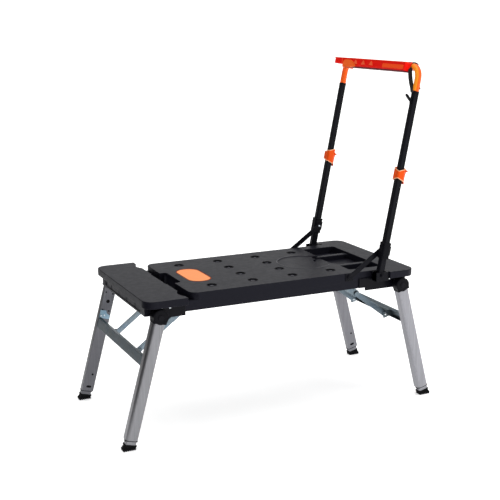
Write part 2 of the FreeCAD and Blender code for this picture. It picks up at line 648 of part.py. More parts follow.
def make_clamp(name, flank):
    """Clamp collar on the top of the lower tube, with two ears for the cam lever."""
    node = f"{name}_clamp"
    inner = f"handle_across - {TUBE_HALF}"
    outer = f"handle_across + {TUBE_HALF}"
    shell = slab(node + "_shell", (f"-{TUBE_HALF} - 3.2", f"{TUBE_HALF} + 4"),
                 flank_span(flank, f"{inner} - 4", f"{outer} + 4"), CLAMP, 4)
    ears = block(node + "_ears", (f"{TUBE_HALF} + 2", f"{TUBE_HALF} + 14"), EAR_SPAN[name],
                 (f"{CLAMP[1]} - 16", CLAMP[1]))
    gap = block(node + "_gap", (f"{TUBE_HALF} + 4", f"{TUBE_HALF} + 15"),
                flank_span(flank, "handle_across - 11", "handle_across + 11"),
                (f"{CLAMP[1]} - 17", f"{CLAMP[1]} + 1"))
    socket = slab(node + "_socket", symmetric(f"{TUBE_HALF} + 0.1"),
                  flank_span(flank, f"{inner} - 0.1", f"{outer} + 0.1"),
                  (f"{CLAMP[0]} - 1", "clamp_station"), "tube_corner")
    loose = "upper_tube / 2 + 0.4"
    throat = slab(node + "_throat", symmetric(loose),
                  flank_span(flank, f"handle_across - ({loose})", f"handle_across + {loose}"),
                  ("clamp_station - 1", f"{CLAMP[1]} + 1"), "tube_corner - tube_wall")
    eye = across(node + "_eye", "lever_pin + running_fit", LEVER_PIVOT[0], EAR_SPAN[name], LEVER_PIVOT[1])
    keep(node, lean_handle(carve(node, join(node + "_solid", [shell, ears]), [gap, socket, throat, eye])))


def make_clamp_lever(name, flank):
    """Cam lever: its cam sits between the clamp's ears and its paddle lies down the tube."""
    node = f"{name}_clamp_lever"
    width = flank_span(flank, "handle_across - 10", "handle_across + 10")
    cam = across(node + "_cam", "cam_radius", LEVER_PIVOT[0], width, LEVER_PIVOT[1])
    paddle = slab(node + "_paddle", (f"{TUBE_HALF} + 5.5", f"{TUBE_HALF} + 12"), width,
                  (f"{CLAMP[0]} - 6", LEVER_PIVOT[1]), 1.5)
    eye = across(node + "_eye", "lever_pin + running_fit", LEVER_PIVOT[0], width, LEVER_PIVOT[1])
    keep(node, lean_handle(carve(node, join(node + "_solid", [cam, paddle]), [eye])))


def make_upper_handle():
    for name, flank in FLANKS.items():
        node = f"{name}_upper_tube"
        outer, bore = square_tube(node, flank, "upper_tube", "tube_wall",
                                  ("clamp_station - upper_overlap", "grip_start"),
                                  "upper_corner")
        keep(node, lean_handle(carve(node, outer, [bore])))
    make_grip_tube()
    make_bin()
    make_strap()
    make_hook()


def sweep_tube(name, radius, points, bends):
    """A round bar along straight runs joined by quarter turns, as bars and torus elbows."""
    pieces = []
    for number, (axis, start, length) in enumerate(points):
        pieces.append(rod(f"{name}_run_{number}", axis, radius, start, length))
    for number, (centre, turn, start_angle) in enumerate(bends):
        elbow = document.addObject("Part::Torus", f"{name}_bend_{number}")
        bind(elbow, "Radius1", "grip_bend")
        bind(elbow, "Radius2", radius)
        elbow.Angle3 = 90
        move(elbow, *centre)
        elbow.Placement.Rotation = FreeCAD.Rotation(FreeCAD.Vector(*turn[0]), turn[1]).multiply(
            FreeCAD.Rotation(FreeCAD.Vector(0, 0, 1), start_angle))
        pieces.append(elbow)
    return pieces


def grip_solid(name, radius):
    leg_top = "handle_reach - grip_bend"
    bar_end = "handle_across - grip_bend"
    stand_up = ((0.57735, 0.57735, 0.57735), 120)
    runs, bends = [], []
    for flank, start_angle in ((FRONT, 90), (REAR, 0)):
        runs.append(("z", (0, f"{flank} * handle_across", "grip_start"), f"{leg_top} - grip_start"))
        bends.append(((0, f"{flank} * ({bar_end})", leg_top), stand_up, start_angle))
    runs.append(("y", (0, f"-({bar_end})", "handle_reach"), f"2 * ({bar_end})"))
    return join(name, sweep_tube(name, radius, runs, bends))


def make_grip_tube():
    grip = carve("grip_tube", grip_solid("grip_outer", "grip_radius"),
                 [grip_solid("grip_bore", "grip_radius - grip_wall")])
    keep("grip_tube", lean_handle(grip))


def make_bin():
    """Small-parts tray carried along the crossbar, open at the top; its rear end reaches past the grip."""
    x = ("-bin_ahead", "bin_behind")
    z = ("handle_reach - bin_below", "handle_reach + bin_above")
    y = symmetric("bin_half_length")
    tray = block("bin_tray", x, y, z)
    saddle = block("bin_saddle", ("-grip_radius - bin_wall", x[1]), y,
                   ("handle_reach", "handle_reach + saddle_above"))
    end = block("bin_end", (x[0], "-grip_radius - bin_wall"), ("bin_half_length - 1", "bin_rear_reach"), z)
    above = f"{z[1]} + 1"
    inside = block("bin_inside", (f"{x[0]} + bin_wall", "-grip_radius - bin_wall"),
                   symmetric("bin_half_length - bin_wall"), (f"{z[0]} + bin_wall", above))
    end_inside = block("bin_end_inside", (f"{x[0]} + bin_wall", "-grip_radius - 2 * bin_wall"),
                       ("bin_half_length - 10", "bin_rear_reach - bin_wall"), (f"{z[0]} + bin_wall", above))
    seat = across("bin_seat", "grip_radius + 0.3", 0, symmetric("bin_half_length + 1"), "handle_reach")
    slot = block("bin_slot", ("-grip_radius - 0.3", "grip_radius + 0.3"), symmetric("bin_half_length + 1"),
                 (f"{z[0]} - 1", "handle_reach"))
    shell = join("bin_shell", [tray, saddle, end])
    keep("handle_bin", lean_handle(carve("handle_bin", shell, [inside, end_inside, seat, slot])))


def make_strap():
    """Webbing loop hung over the front bend of the grip."""
    y = flank_span(FRONT, "strap_near", "strap_near + strap_width")
    top = "handle_reach + grip_radius + 1"
    outer = slab("strap_outer", symmetric("strap_half"), y,
                 ("grip_start - strap_drop", f"{top} + strap_thickness"), 1)
    inner = block("strap_inner", symmetric("strap_half - strap_thickness"),
                  flank_span(FRONT, "strap_near - 1", "strap_near + strap_width + 1"),
                  ("grip_start - strap_drop + strap_thickness", top))
    keep("wrist_strap", lean_handle(carve("wrist_strap", outer, [inner])))


def make_hook():
    """Bag hook: a peg that slants up from a small base on the front upper tube."""
    face = "-upper_tube / 2"
    start = f"{face} - hook_base"
    base = slab("hook_base", (f"{start} - 1", face),
                flank_span(FRONT, "handle_across - 7", "handle_across + 7"),
                ("hook_station - 10", "hook_station + 10"), 1)
    peg = rod("hook_peg", "z", "hook_radius", (start, "-handle_across", "hook_station"), "hook_length")
    move(peg, start, "-handle_across", "hook_station", about=(0, 1, 0), angle="-hook_tilt")
    tip = document.addObject("Part::Sphere", "hook_tip")
    bind(tip, "Radius", "hook_radius + 0.5")
    move(tip, f"{start} - hook_length * sin(hook_tilt * 1 deg)", "-handle_across",
         "hook_station + hook_length * cos(hook_tilt * 1 deg)")
    keep("bag_hook", lean_handle(join("bag_hook", [base, peg, tip])))


# ---------------------------------------------------------------- stays and collars
def make_collars():
    z = ("collar_station - collar_length / 2", "collar_station + collar_length / 2")
    for name, flank in FLANKS.items():
        node = f"{name}_collar"
        half = "collar_size / 2"
        middle = f"{flank} * handle_across"
        sleeve = slab(node + "_sleeve", symmetric(half), (f"{middle} - {half}", f"{middle} + {half}"), z, 7)
        knob = slab(node + "_knob", (half, f"{half} + 5"), (f"{middle} - 9", f"{middle} + 9"),
                    (f"{z[0]} + 12", f"{z[1]} - 12"), 2)
        boss = across(node + "_boss", 8, 0,
                      flank_span(flank, "stay_near + stay_thickness + 0.5", f"handle_across - {half} + 1"),
                      "collar_station")
        gap = f"{TUBE_HALF} + collar_gap"
        bore = slab(node + "_bore", symmetric(gap), (f"{middle} - ({gap})", f"{middle} + ({gap})"),
                    (f"{z[0]} - 1", f"{z[1]} + 1"), "tube_corner")
        keep(node, lean_handle(carve(node, join(node + "_solid", [sleeve, knob, boss]), [bore])))


def make_stays():
    for name, flank in FLANKS.items():
        node = f"{name}_stay"
        y = flank_span(flank, "stay_near", "stay_near + stay_thickness")
        stay = link(node, y, "stay_length", "stay_radius")
        keep(node, move(stay, "stay_base_x", 0, "stay_base_height", about=(0, 1, 0), angle="-stay_slope"))


# ---------------------------------------------------------------- build, check and write
make_deck()
make_insert()
make_side_plates()
make_leg_pins()
make_handle_brackets()
make_handle_pins()
make_stay_bases()
make_brace_anchors()
make_leg_frames()
make_braces()
make_lower_handle()
make_upper_handle()
make_collars()
make_stays()
document.recompute()

for thing in document.Objects:
    if "Invalid" in thing.State or "Error" in thing.State:
        raise RuntimeError(f"{thing.Label} failed to build: {thing.State}")

os.makedirs("parts", exist_ok=True)
for subpart in SUBPARTS:
    shape = subpart.Shape
    if shape.isNull() or not shape.isValid():
        raise RuntimeError(f"{subpart.Label} has no valid shape")
    shape.exportStep(f"parts/{subpart.Label}.step")
print(len(SUBPARTS), "sub-parts written")
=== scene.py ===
import bmesh
import bpy
import json
import math
from mathutils import Matrix, Vector

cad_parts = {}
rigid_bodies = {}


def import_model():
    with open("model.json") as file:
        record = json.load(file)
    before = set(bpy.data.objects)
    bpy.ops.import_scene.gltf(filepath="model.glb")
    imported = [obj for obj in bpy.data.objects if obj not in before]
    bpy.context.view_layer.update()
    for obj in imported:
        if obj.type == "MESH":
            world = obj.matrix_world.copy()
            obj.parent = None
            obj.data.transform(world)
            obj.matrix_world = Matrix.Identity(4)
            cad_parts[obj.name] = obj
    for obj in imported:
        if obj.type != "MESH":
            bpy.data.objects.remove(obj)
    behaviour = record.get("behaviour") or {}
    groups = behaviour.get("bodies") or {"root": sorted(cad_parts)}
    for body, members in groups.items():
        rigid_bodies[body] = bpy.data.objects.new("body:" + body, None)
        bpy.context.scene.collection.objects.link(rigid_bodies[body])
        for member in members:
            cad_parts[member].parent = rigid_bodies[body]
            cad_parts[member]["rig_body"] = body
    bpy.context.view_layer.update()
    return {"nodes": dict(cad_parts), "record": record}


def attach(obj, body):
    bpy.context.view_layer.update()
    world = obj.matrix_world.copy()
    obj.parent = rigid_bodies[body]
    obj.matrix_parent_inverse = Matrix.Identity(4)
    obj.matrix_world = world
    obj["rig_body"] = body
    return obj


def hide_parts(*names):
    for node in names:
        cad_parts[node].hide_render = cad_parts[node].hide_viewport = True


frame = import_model()
nodes = frame["nodes"]
MM = 0.001


# ---------------------------------------------------------------- materials
class Finish:
    """A node material built step by step, with its patterns in metres."""

    def __init__(self, name, colour, roughness, metallic=0.0, coat=0.0, specular=0.5):
        self.material = bpy.data.materials.new(name)
        self.material.use_nodes = True
        self.tree = self.material.node_tree
        self.shader = self.tree.nodes["Principled BSDF"]
        self.shader.inputs["Base Color"].default_value = (*colour, 1)
        self.shader.inputs["Roughness"].default_value = roughness
        self.shader.inputs["Metallic"].default_value = metallic
        self.shader.inputs["Coat Weight"].default_value = coat
        self.shader.inputs["Specular IOR Level"].default_value = specular
        self.place = self.tree.nodes.new("ShaderNodeTexCoord").outputs["Object"]
        self.height = None

    def node(self, kind, **values):
        """Add a shader node; each value sets its attribute or, failing that, its input socket."""
        made = self.tree.nodes.new("ShaderNode" + kind)
        for key, value in values.items():
            if hasattr(made, key):
                setattr(made, key, value)
            else:
                made.inputs[key.replace("_", " ")].default_value = value
        return made

    def link(self, source, target):
        self.tree.links.new(source, target)

    def noise(self, per_metre, detail, stretch=(1, 1, 1), turn=(0, 0, 0)):
        """Noise with so many cells per metre, stretched and turned in the piece's own space."""
        mapping = self.node("Mapping", Rotation=turn, Scale=stretch)
        self.link(self.place, mapping.inputs["Vector"])
        noise = self.node("TexNoise", Scale=per_metre, Detail=detail, Roughness=0.55)
        self.link(mapping.outputs["Vector"], noise.inputs["Vector"])
        return noise.outputs["Fac"]

    def ramp(self, value, low, high, first, last):
        """Map a value from low..high to first..last."""
        made = self.node("MapRange")
        for key, number in (("From Min", low), ("From Max", high), ("To Min", first), ("To Max", last)):
            made.inputs[key].default_value = number
        self.link(value, made.inputs["Value"])
        return made.outputs["Result"]

    def tint(self, value, other):
        """Blend the base colour towards another one."""
        mix = self.node("Mix", data_type="RGBA")
        current = self.shader.inputs["Base Color"]
        if current.is_linked:
            self.link(current.links[0].from_socket, mix.inputs[6])
        else:
            mix.inputs[6].default_value = current.default_value
        mix.inputs[7].default_value = (*other, 1)
        self.link(value, mix.inputs[0])
        self.link(mix.outputs[2], current)

    def vary_roughness(self, value, low, high):
        """Let a pattern move the roughness between two numbers."""
        self.link(self.ramp(value, 0.3, 0.7, low, high), self.shader.inputs["Roughness"])

    def bump(self, value, strength, depth):
        """Raise the surface by a pattern, on top of any earlier bump."""
        made = self.node("Bump", Strength=strength, Distance=depth)
        self.link(value, made.inputs["Height"])
        if self.height:
            self.link(self.height, made.inputs["Normal"])
        self.height = made.outputs["Normal"]
        self.link(self.height, self.shader.inputs["Normal"])


def moulded(name, colour, roughness, grain=2600, depth=0.00008, specular=0.5):
    """Injection-moulded plastic with a spark-eroded grain and faint flow marks."""
    made = Finish(name, colour, roughness, specular=specular)
    fine = made.noise(grain, 2.0)
    cloud = made.noise(9, 4.0)
    made.tint(made.ramp(cloud, 0.35, 0.7, 0.0, 0.12), [c * 1.15 for c in colour])
    made.tint(made.ramp(fine, 0.4, 0.65, 0.0, 0.25), [c * 0.6 for c in colour])
    made.vary_roughness(made.noise(60, 3.0), roughness - 0.03, roughness + 0.03)
    made.bump(fine, 0.35, depth)
    return made.material


def powder_coat(name, colour, roughness, specular=0.5, coat=0.03):
    """Sprayed paint with a slight orange-peel surface."""
    made = Finish(name, colour, roughness, coat=coat, specular=specular)
    made.shader.inputs["Coat Roughness"].default_value = 0.25
    peel = made.noise(900, 2.0)
    made.tint(made.ramp(made.noise(14, 3.0), 0.35, 0.7, 0.0, 0.2), [c * 1.25 + 0.003 for c in colour])
    made.vary_roughness(made.noise(45, 3.0), roughness - 0.06, roughness + 0.08)
    made.bump(peel, 0.25, 0.00006)
    return made.material


def drawn_metal(name, colour, roughness, tilt):
    """Extruded aluminium: fine lines along the length, which leans by tilt about Y."""
    made = Finish(name, colour, roughness, metallic=0.85)
    lines = made.noise(1.0, 3.0, stretch=(700, 700, 3), turn=(0, tilt, 0))
    wide = made.noise(1.0, 2.0, stretch=(90, 90, 1.5), turn=(0, tilt, 0))
    made.tint(made.ramp(lines, 0.4, 0.62, 0.0, 0.5), [c * 0.72 for c in colour])
    made.tint(made.ramp(wide, 0.42, 0.62, 0.0, 0.35), [c * 0.82 for c in colour])
    made.vary_roughness(lines, roughness - 0.08, roughness + 0.1)
    made.bump(lines, 0.15, 0.00005)
    return made.material


def galvanised(name, colour, roughness):
    """Zinc plate: a cool sheen with soft clouds of blue and yellow passivation."""
    made = Finish(name, colour, roughness, metallic=0.9)
    cloud = made.noise(28, 4.0)
    red, green, blue = colour
    made.tint(made.ramp(cloud, 0.42, 0.62, 0.0, 0.6), (red * 0.72, green * 0.86, blue))
    made.tint(made.ramp(made.noise(17, 3.0), 0.5, 0.7, 0.0, 0.35), (red, green * 0.98, blue * 0.84))
    fine = made.noise(420, 3.0)
    made.vary_roughness(made.noise(150, 3.0), roughness - 0.08, roughness + 0.1)
    made.bump(fine, 0.12, 0.00005)
    return made.material


def woven(name, colour):
    """Narrow webbing: fine ribs along and across."""
    made = Finish(name, colour, 0.8, specular=0.3)
    across = made.node("TexWave", Scale=260.0, Distortion=0.4, bands_direction="Z")
    along = made.node("TexWave", Scale=340.0, Distortion=0.4, bands_direction="Y")
    made.link(made.place, across.inputs["Vector"])
    made.link(made.place, along.inputs["Vector"])
    both = made.node("Math", operation="MULTIPLY")
    made.link(across.outputs["Fac"], both.inputs[0])
    made.link(along.outputs["Fac"], both.inputs[1])
    made.tint(made.ramp(both.outputs["Value"], 0.1, 0.8, 0.0, 0.5), [c * 2.2 + 0.01 for c in colour])
    made.bump(both.outputs["Value"], 0.6, 0.0002)
    made.shader.inputs["Sheen Weight"].default_value = 0.2
    return made.material


LEAN = math.radians(15)
HANDLE_LEAN = math.radians(11)
DECK = moulded("deck_moulding", (0.006, 0.006, 0.010), 0.45, specular=0.12)
DECK.node_tree.nodes["Principled BSDF"].inputs["Specular Tint"].default_value = (0.86, 0.87, 1, 1)
# pale grey: a painted highlight on the far wall of each dog hole
BUSH_HIGHLIGHT = moulded("peg_bush_painted_highlight", (0.20, 0.20, 0.22), 0.4, specular=0.35)
# paler than the deck: a painted highlight along the dish's ridge
RIDGE_HIGHLIGHT = moulded("dish_ridge_painted_highlight", (0.05, 0.05, 0.058), 0.4, specular=0.25)
INSERT = moulded("insert_moulding", (0.98, 0.34, 0.13), 0.6, specular=0.08)
# a darker copy of the insert's orange: painted shade where the insert meets the deck
INSERT_RIM_SHADE = moulded("insert_rim_painted_shade", (0.30, 0.05, 0.015), 0.55, specular=0.08)
# near-black: painted shade on the dog-hole rims, the end-wall slots and the leg ports, plain black on the leg
# rivets and the dark card
SHADE = moulded("black_and_painted_shade_moulding", (0.0018, 0.0018, 0.0024), 0.6, specular=0.04)
BLACK = moulded("black_moulding", (0.003, 0.003, 0.005), 0.45, specular=0.08)
RUBBER = moulded("shoe_rubber", (0.004, 0.004, 0.005), 0.75, grain=1500, specular=0.1)
STEEL = powder_coat("black_coat", (0.003, 0.003, 0.0055), 0.36, specular=0.08)
ZINC = galvanised("zinc_plate", (0.19, 0.235, 0.27), 0.38)
# a darker copy of the zinc plate: painted shade for the cross channels' faces that turn away from the light
CHANNEL_SHADED = galvanised("channel_zinc_painted_shade", (0.115, 0.14, 0.155), 0.4)
GUSSET = galvanised("gusset_zinc", (0.27, 0.38, 0.45), 0.36)
SHINY = galvanised("bright_zinc", (0.75, 0.77, 0.78), 0.25)
# one drawn aluminium in four copies, as painted light and shade: the front and right legs are lighter and the
# rear and left legs darker, for how the studio lights each leg
LEG = {(-1, -1): drawn_metal("left_front_leg_metal_painted_light", (0.25, 0.25, 0.265), 0.36, LEAN),
       (-1, 1): drawn_metal("left_rear_leg_metal_painted_shade", (0.14, 0.14, 0.155), 0.36, LEAN),
       (1, -1): drawn_metal("right_front_leg_metal_painted_light", (0.31, 0.31, 0.335), 0.4, -LEAN),
       (1, 1): drawn_metal("right_rear_leg_metal_painted_shade", (0.21, 0.21, 0.23), 0.4, -LEAN)}
ORANGE = moulded("orange_moulding", (0.84, 0.085, 0.004), 0.36, grain=1800, specular=0.1)
# pale orange: a painted highlight along the clamp collars' edges
ORANGE_HIGHLIGHT = moulded("orange_painted_highlight", (1.0, 0.50, 0.26), 0.3, grain=1800, specular=0.4)
GRIP = powder_coat("orange_coat", (0.92, 0.125, 0.008), 0.34, specular=0.2)
# a paler orange: a painted highlight on the grip's front bend
GRIP_HIGHLIGHT = powder_coat("orange_painted_highlight_coat", (1.0, 0.31, 0.015), 0.34, specular=0.2)
BIN = moulded("tray_moulding", (0.88, 0.006, 0.001), 0.4, grain=1800, specular=0.08)
# paler than the tray: a painted highlight on its rim and triangles
BIN_HIGHLIGHT = moulded("tray_rim_painted_highlight", (0.95, 0.11, 0.03), 0.4, grain=1800, specular=0.2)
BIN_LABEL = moulded("tray_panel_moulding", (1.0, 0.085, 0.008), 0.4, grain=1800, specular=0.12)
# a dark copy of the tray red: painted shade under the tray
BIN_SHADE = moulded("tray_underside_painted_shade", (0.12, 0.006, 0.012), 0.5, grain=1800, specular=0.1)
WEBBING = woven("black_webbing", (0.004, 0.004, 0.006))


# ---------------------------------------------------------------- mesh helpers
def added(name, data):
    """A new object in the scene that shows some data."""
    made = bpy.data.objects.new(name, data)
    bpy.context.scene.collection.objects.link(made)
    return made


def mesh_of(work, name):
    """Turn a finished working mesh into mesh data."""
    mesh = bpy.data.meshes.new(name)
    work.to_mesh(mesh)
    work.free()
    return mesh


def finish_piece(mesh, name, material, body, slot, *stands_for):
    """Give a piece its material and smooth shading, tie it to its body and hide the CAD nodes it stands for.
    """
    piece = added(name, mesh)
    mesh.materials.clear()
    mesh.materials.append(material)
    mesh.shade_smooth()
    mesh.set_sharp_from_angle(angle=math.radians(50))
    even = piece.modifiers.new("even_shading", "WEIGHTED_NORMAL")
    even.keep_sharp = True
    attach(piece, body)
    if stands_for:
        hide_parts(*stands_for)


def soften(node, material, width, steps):
    """A copy of a frame node with its convex edges rounded by width, in millimetres."""
    source = nodes[node]
    work = bmesh.new()
    work.from_mesh(source.data)
    bmesh.ops.remove_doubles(work, verts=work.verts, dist=2e-5)
    bmesh.ops.dissolve_limit(work, angle_limit=math.radians(0.6), verts=work.verts, edges=work.edges,
                             delimit={"NORMAL"})
    sharp = [edge for edge in work.edges
             if len(edge.link_faces) == 2 and edge.is_convex and edge.calc_face_angle(0) > math.radians(35)]
    bmesh.ops.bevel(work, geom=sharp, offset=width * MM, offset_type="OFFSET", segments=steps, profile=0.5,
                    affect="EDGES", clamp_overlap=False)
    slot = next(part["material_slot"] for part in frame["record"]["subparts"] if part["node"] == node)
    name = node + "_soft"
    finish_piece(mesh_of(work, name), name, material, source["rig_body"], slot, node)


def finish_for(node):
    """The material of a CAD node that is shown with softened edges."""
    side = -1 if node.startswith("left") else 1
    if node == "deck":
        return DECK
    if node == "deck_insert":
        return INSERT
    # each leg takes its own copy of the metal, with its painted light or shade
    if node.endswith("_leg"):
        return LEG[side, -1 if "_front_" in node else 1]
    if node.endswith("leg_cap") or node.endswith("_collar"):
        return BLACK
    if node == "clamp_pins":
        return ORANGE
    if node == "grip_tube":
        return GRIP
    if node == "handle_bin":
        return BIN
    # the cross channels take the darker zinc copy, which is painted shade
    if node.endswith("_cross_channel"):
        return CHANNEL_SHADED
    if node.endswith("_gussets"):
        return GUSSET
    if node in ("brace_anchor_pins", "left_frame_rivets", "right_frame_rivets"):
        return SHINY
    if node.endswith("_pins") or any(word in node for word in ("tube", "side_plate", "bracket", "stay")):
        return STEEL
    return ZINC


def prism(work, outline, axis, low, high):
    """Extrude a closed outline along an axis; the outline's pairs keep X, Y, Z order."""
    first, second = [index for index in range(3) if index != axis]
    rings = []
    for level in (low, high):
        ring = []
        for a, b in outline:
            point = [0, 0, 0]
            point[first], point[second], point[axis] = a, b, level
            ring.append(work.verts.new(point))
        rings.append(ring)
    for index, corner in enumerate(rings[0]):
        after = (index + 1) % len(outline)
        work.faces.new((corner, rings[0][after], rings[1][after], rings[1][index]))
    work.faces.new(rings[0])
    work.faces.new(rings[1])


def box(work, x, y, z):
    """A block between pairs of coordinates."""
    prism(work, [(x[0], y[0]), (x[1], y[0]), (x[1], y[1]), (x[0], y[1])], 2, *z)


def turned(work, profile, axis, centre, closed=False, steps=36, arc=(0, 360)):
    """Revolve (radius, height) pairs about an axis through centre."""
    first, second = [index for index in range(3) if index != axis]
    whole = arc[1] - arc[0] == 360
    rings = []
    for radius, height in profile:
        ring = []
        for step in range(steps + (0 if whole else 1)):
            angle = math.radians(arc[0] + (arc[1] - arc[0]) * step / steps)
            point = list(centre)
            point[first] += radius * math.cos(angle)
            point[second] += radius * math.sin(angle)
            point[axis] += height
            ring.append(work.verts.new(point))
        rings.append(ring)
    pairs = list(zip(rings, rings[1:])) + ([(rings[-1], rings[0])] if closed else [])
    for low, high in pairs:
        for step in range(steps):
            after = (step + 1) % len(low)
            work.faces.new((low[step], low[after], high[after], high[step]))
    if not closed:
        work.faces.new(rings[0])
        work.faces.new(rings[-1])
    elif not whole:
        work.faces.new([ring[0] for ring in rings])
        work.faces.new([ring[-1] for ring in rings])


def swept(work, path, section, side, closed=False):
    """Carry a section along a path; its first number runs along side, its second across the path."""
    rings = []
    for index, point in enumerate(path):
        before = path[index - 1] if closed or index else point
        after = path[(index + 1) % len(path)] if closed or index + 1 < len(path) else point
        along = (Vector(after) - Vector(before)).normalized()
        normal = along.cross(Vector(side)).normalized()
        across = normal.cross(along)
        rings.append([work.verts.new(Vector(point) + across * u + normal * v) for u, v in section])
    pairs = list(zip(rings, rings[1:])) + ([(rings[-1], rings[0])] if closed else [])
    for low, high in pairs:
        for index in range(len(section)):
            after = (index + 1) % len(section)
            work.faces.new((low[index], low[after], high[after], high[index]))
    if not closed:
        work.faces.new(rings[0])
        work.faces.new(rings[-1])


def rounded(half_a, half_b, radius, middle=(0, 0), steps=6):
    """Corners of a rounded rectangle."""
    points = []
    for quarter, (sign_a, sign_b) in enumerate(((1, 1), (-1, 1), (-1, -1), (1, -1))):
        for step in range(steps + 1):
            angle = math.radians(90 * (quarter + step / steps))
            points.append((middle[0] + sign_a * (half_a - radius) + radius * math.cos(angle),
                           middle[1] + sign_b * (half_b - radius) + radius * math.sin(angle)))
    return points


def strip(width, thickness):
    """A flat rectangular section."""
    return [(-width / 2, -thickness / 2), (width / 2, -thickness / 2),
            (width / 2, thickness / 2), (-width / 2, thickness / 2)]


def posed(x, z, turn):
    """Drawing space turned about Y and then moved in X and Z, as a matrix in millimetres."""
    return Matrix.Translation((x, 0, z)) @ Matrix.Rotation(turn, 4, "Y")


def placed(x=0, z=0, turn=0):
    """The same, as a matrix to metres."""
    return Matrix.Scale(MM, 4) @ posed(x, z, turn)


def built(work, name, material, body, slot, place, bevel=0.5, steps=2, stands_for=()):
    """Round the edges of a working mesh drawn in millimetres and add it as a piece."""
    bmesh.ops.recalc_face_normals(work, faces=work.faces)
    if bevel:
        sharp = [edge for edge in work.edges
                 if len(edge.link_faces) == 2 and edge.calc_face_angle(0) > math.radians(30)]
        bmesh.ops.bevel(work, geom=sharp, offset=bevel, offset_type="OFFSET", segments=steps,
                        profile=0.5, affect="EDGES", clamp_overlap=True)
    bmesh.ops.transform(work, matrix=place, verts=work.verts)
    finish_piece(mesh_of(work, name), name, material, body, slot, *stands_for)


# ---------------------------------------------------------------- shared sizes, in millimetres
DECK_TOP = 478
LEG_PIVOT_X, LEG_PIVOT_Z = 449, 424
LEG_INNER, LEG_MIDDLE, CAP_FACE = 227.5, 242.5, 258
CROSS_STATION = 151
BRACE_ANCHOR_X, BRACE_ANCHOR_Z = 262, 436
BRACE_SLOPE = math.radians(36.89)
BRACE_SETBACK = 12
HANDLE_PIVOT_X, HANDLE_PIVOT_Z = 364.5, 467
FLANK_TUBE = 237
REACH = 717
STAY_BASE_X, STAY_BASE_Z = 257, 465
STAY_LENGTH = 151.07
STAY_SLOPE = math.radians(34.89)
STAY_INNER, STAY_OUTER = 216.5, 220.5
EDGE_ROUND, DECK_EDGE_ROUND = 0.8, 1.8

SIDE_NAMES = {-1: "left", 1: "right"}
FLANK_NAMES = {-1: "front", 1: "rear"}
DECK_SPACE = placed()
HANDLE_SPACE = placed(HANDLE_PIVOT_X, HANDLE_PIVOT_Z, HANDLE_LEAN)
LEG_SPACE = {side: placed(side * LEG_PIVOT_X, LEG_PIVOT_Z, -side * LEAN) for side in (-1, 1)}

# CAD nodes that a piece drawn below stands for; every other node is shown with softened edges
OWN_PIECES = {"front_clamp", "rear_clamp", "front_clamp_lever", "rear_clamp_lever", "bag_hook", "wrist_strap"}
OWN_PIECES |= {f"{side}_{flank}_foot" for side in ("left", "right") for flank in ("front", "rear")}
for node in sorted(set(nodes) - OWN_PIECES):
    if node == "deck":
        soften(node, finish_for(node), DECK_EDGE_ROUND, 3)
    else:
        soften(node, finish_for(node), EDGE_ROUND, 2)


# ---------------------------------------------------------------- deck details
def peg_hole_centres():
    """Four columns of dog holes: the outer columns hold two and the inner ones four."""
    for column in range(4):
        for row in range(4):
            if column in (1, 2) or row in (0, 3):
                yield (column * 150 - 228, (row - 1.5) * 97, DECK_TOP)


def deck_details():
    """Dog-hole rims painted dark as shade and bushes painted pale as a highlight, the insert's rim painted
    darker as shade, the dish's ring painted paler as a highlight, slots in the end wall painted dark as
    shade, screws.
    """
    # the near-black rims and inner walls of the dog holes are painted shade; the pale bush low in each bore
    # is a painted highlight where the far wall catches light
    rims, bushes = bmesh.new(), bmesh.new()
    for centre in peg_hole_centres():
        turned(rims, [(17.6, -0.8), (17.4, 0.3), (16.9, 0.6), (14.4, 0.5), (13.4, -0.3), (13, -5),
                      (17.6, -5)], 2, centre, closed=True)
        turned(bushes, [(12.9, -3.4), (9.8, -5.4), (9.7, -30), (10.6, -30), (10.9, -6.4), (12.9, -4.4)],
               2, centre, closed=True)
    built(rims, "peg_hole_shade_rims", SHADE, "deck", "deck_plastic", DECK_SPACE, bevel=0)
    built(bushes, "peg_hole_bushes", BUSH_HIGHLIGHT, "deck", "deck_plastic", DECK_SPACE, bevel=0)

    # the insert's rim is painted shade, a darker orange where the insert meets the deck
    work = bmesh.new()
    path = [(x - 233, y, 477.1) for x, y in rounded(40.2, 86.2, 38.2, steps=10)]
    swept(work, path, strip(2.2, 3.2), (0, 0, 1), closed=True)
    built(work, "insert_rim", INSERT_RIM_SHADE, "deck", "insert_orange", DECK_SPACE, bevel=0.6)

    # the dish's ring is paler than the deck, a painted highlight along the ridge
    work = bmesh.new()
    turned(work, [(94.6, -2.4), (95, 0.0), (96.2, 0.9), (97.6, 0.9), (98.8, 0.0), (99.2, -2.4)],
           2, (196, 0, DECK_TOP), closed=True, steps=96, arc=(53, 307))
    built(work, "dish_ring", RIDGE_HIGHLIGHT, "deck", "deck_plastic", DECK_SPACE, bevel=0)

    # the end-wall slots are near-black plates on the wall: painted shade inside the openings
    work = bmesh.new()
    prism(work, rounded(2.6, 9, 2.4, (186, 436)), 0, -489, -486)
    for y in (-120, -40, 40, 120):
        prism(work, rounded(1.2, 8, 1, (y, 435)), 0, -486.6, -485.4)
    built(work, "end_slot_shades", SHADE, "deck", "deck_plastic", DECK_SPACE, bevel=0.3)

    screws = bmesh.new()
    for side in (-1, 1):
        for x in (side * 404, side * 434):
            for flank in (-1, 1):
                turned(screws, [(4.4, 0), (4.4, flank * 0.8), (3.2, flank * 1.8), (1.4, flank * 2.1)],
                       1, (x if side < 0 else x - 14, flank * 218, 443), steps=20)
    built(screws, "plate_screws", SHINY, "deck", "zinc_steel", DECK_SPACE, bevel=0)


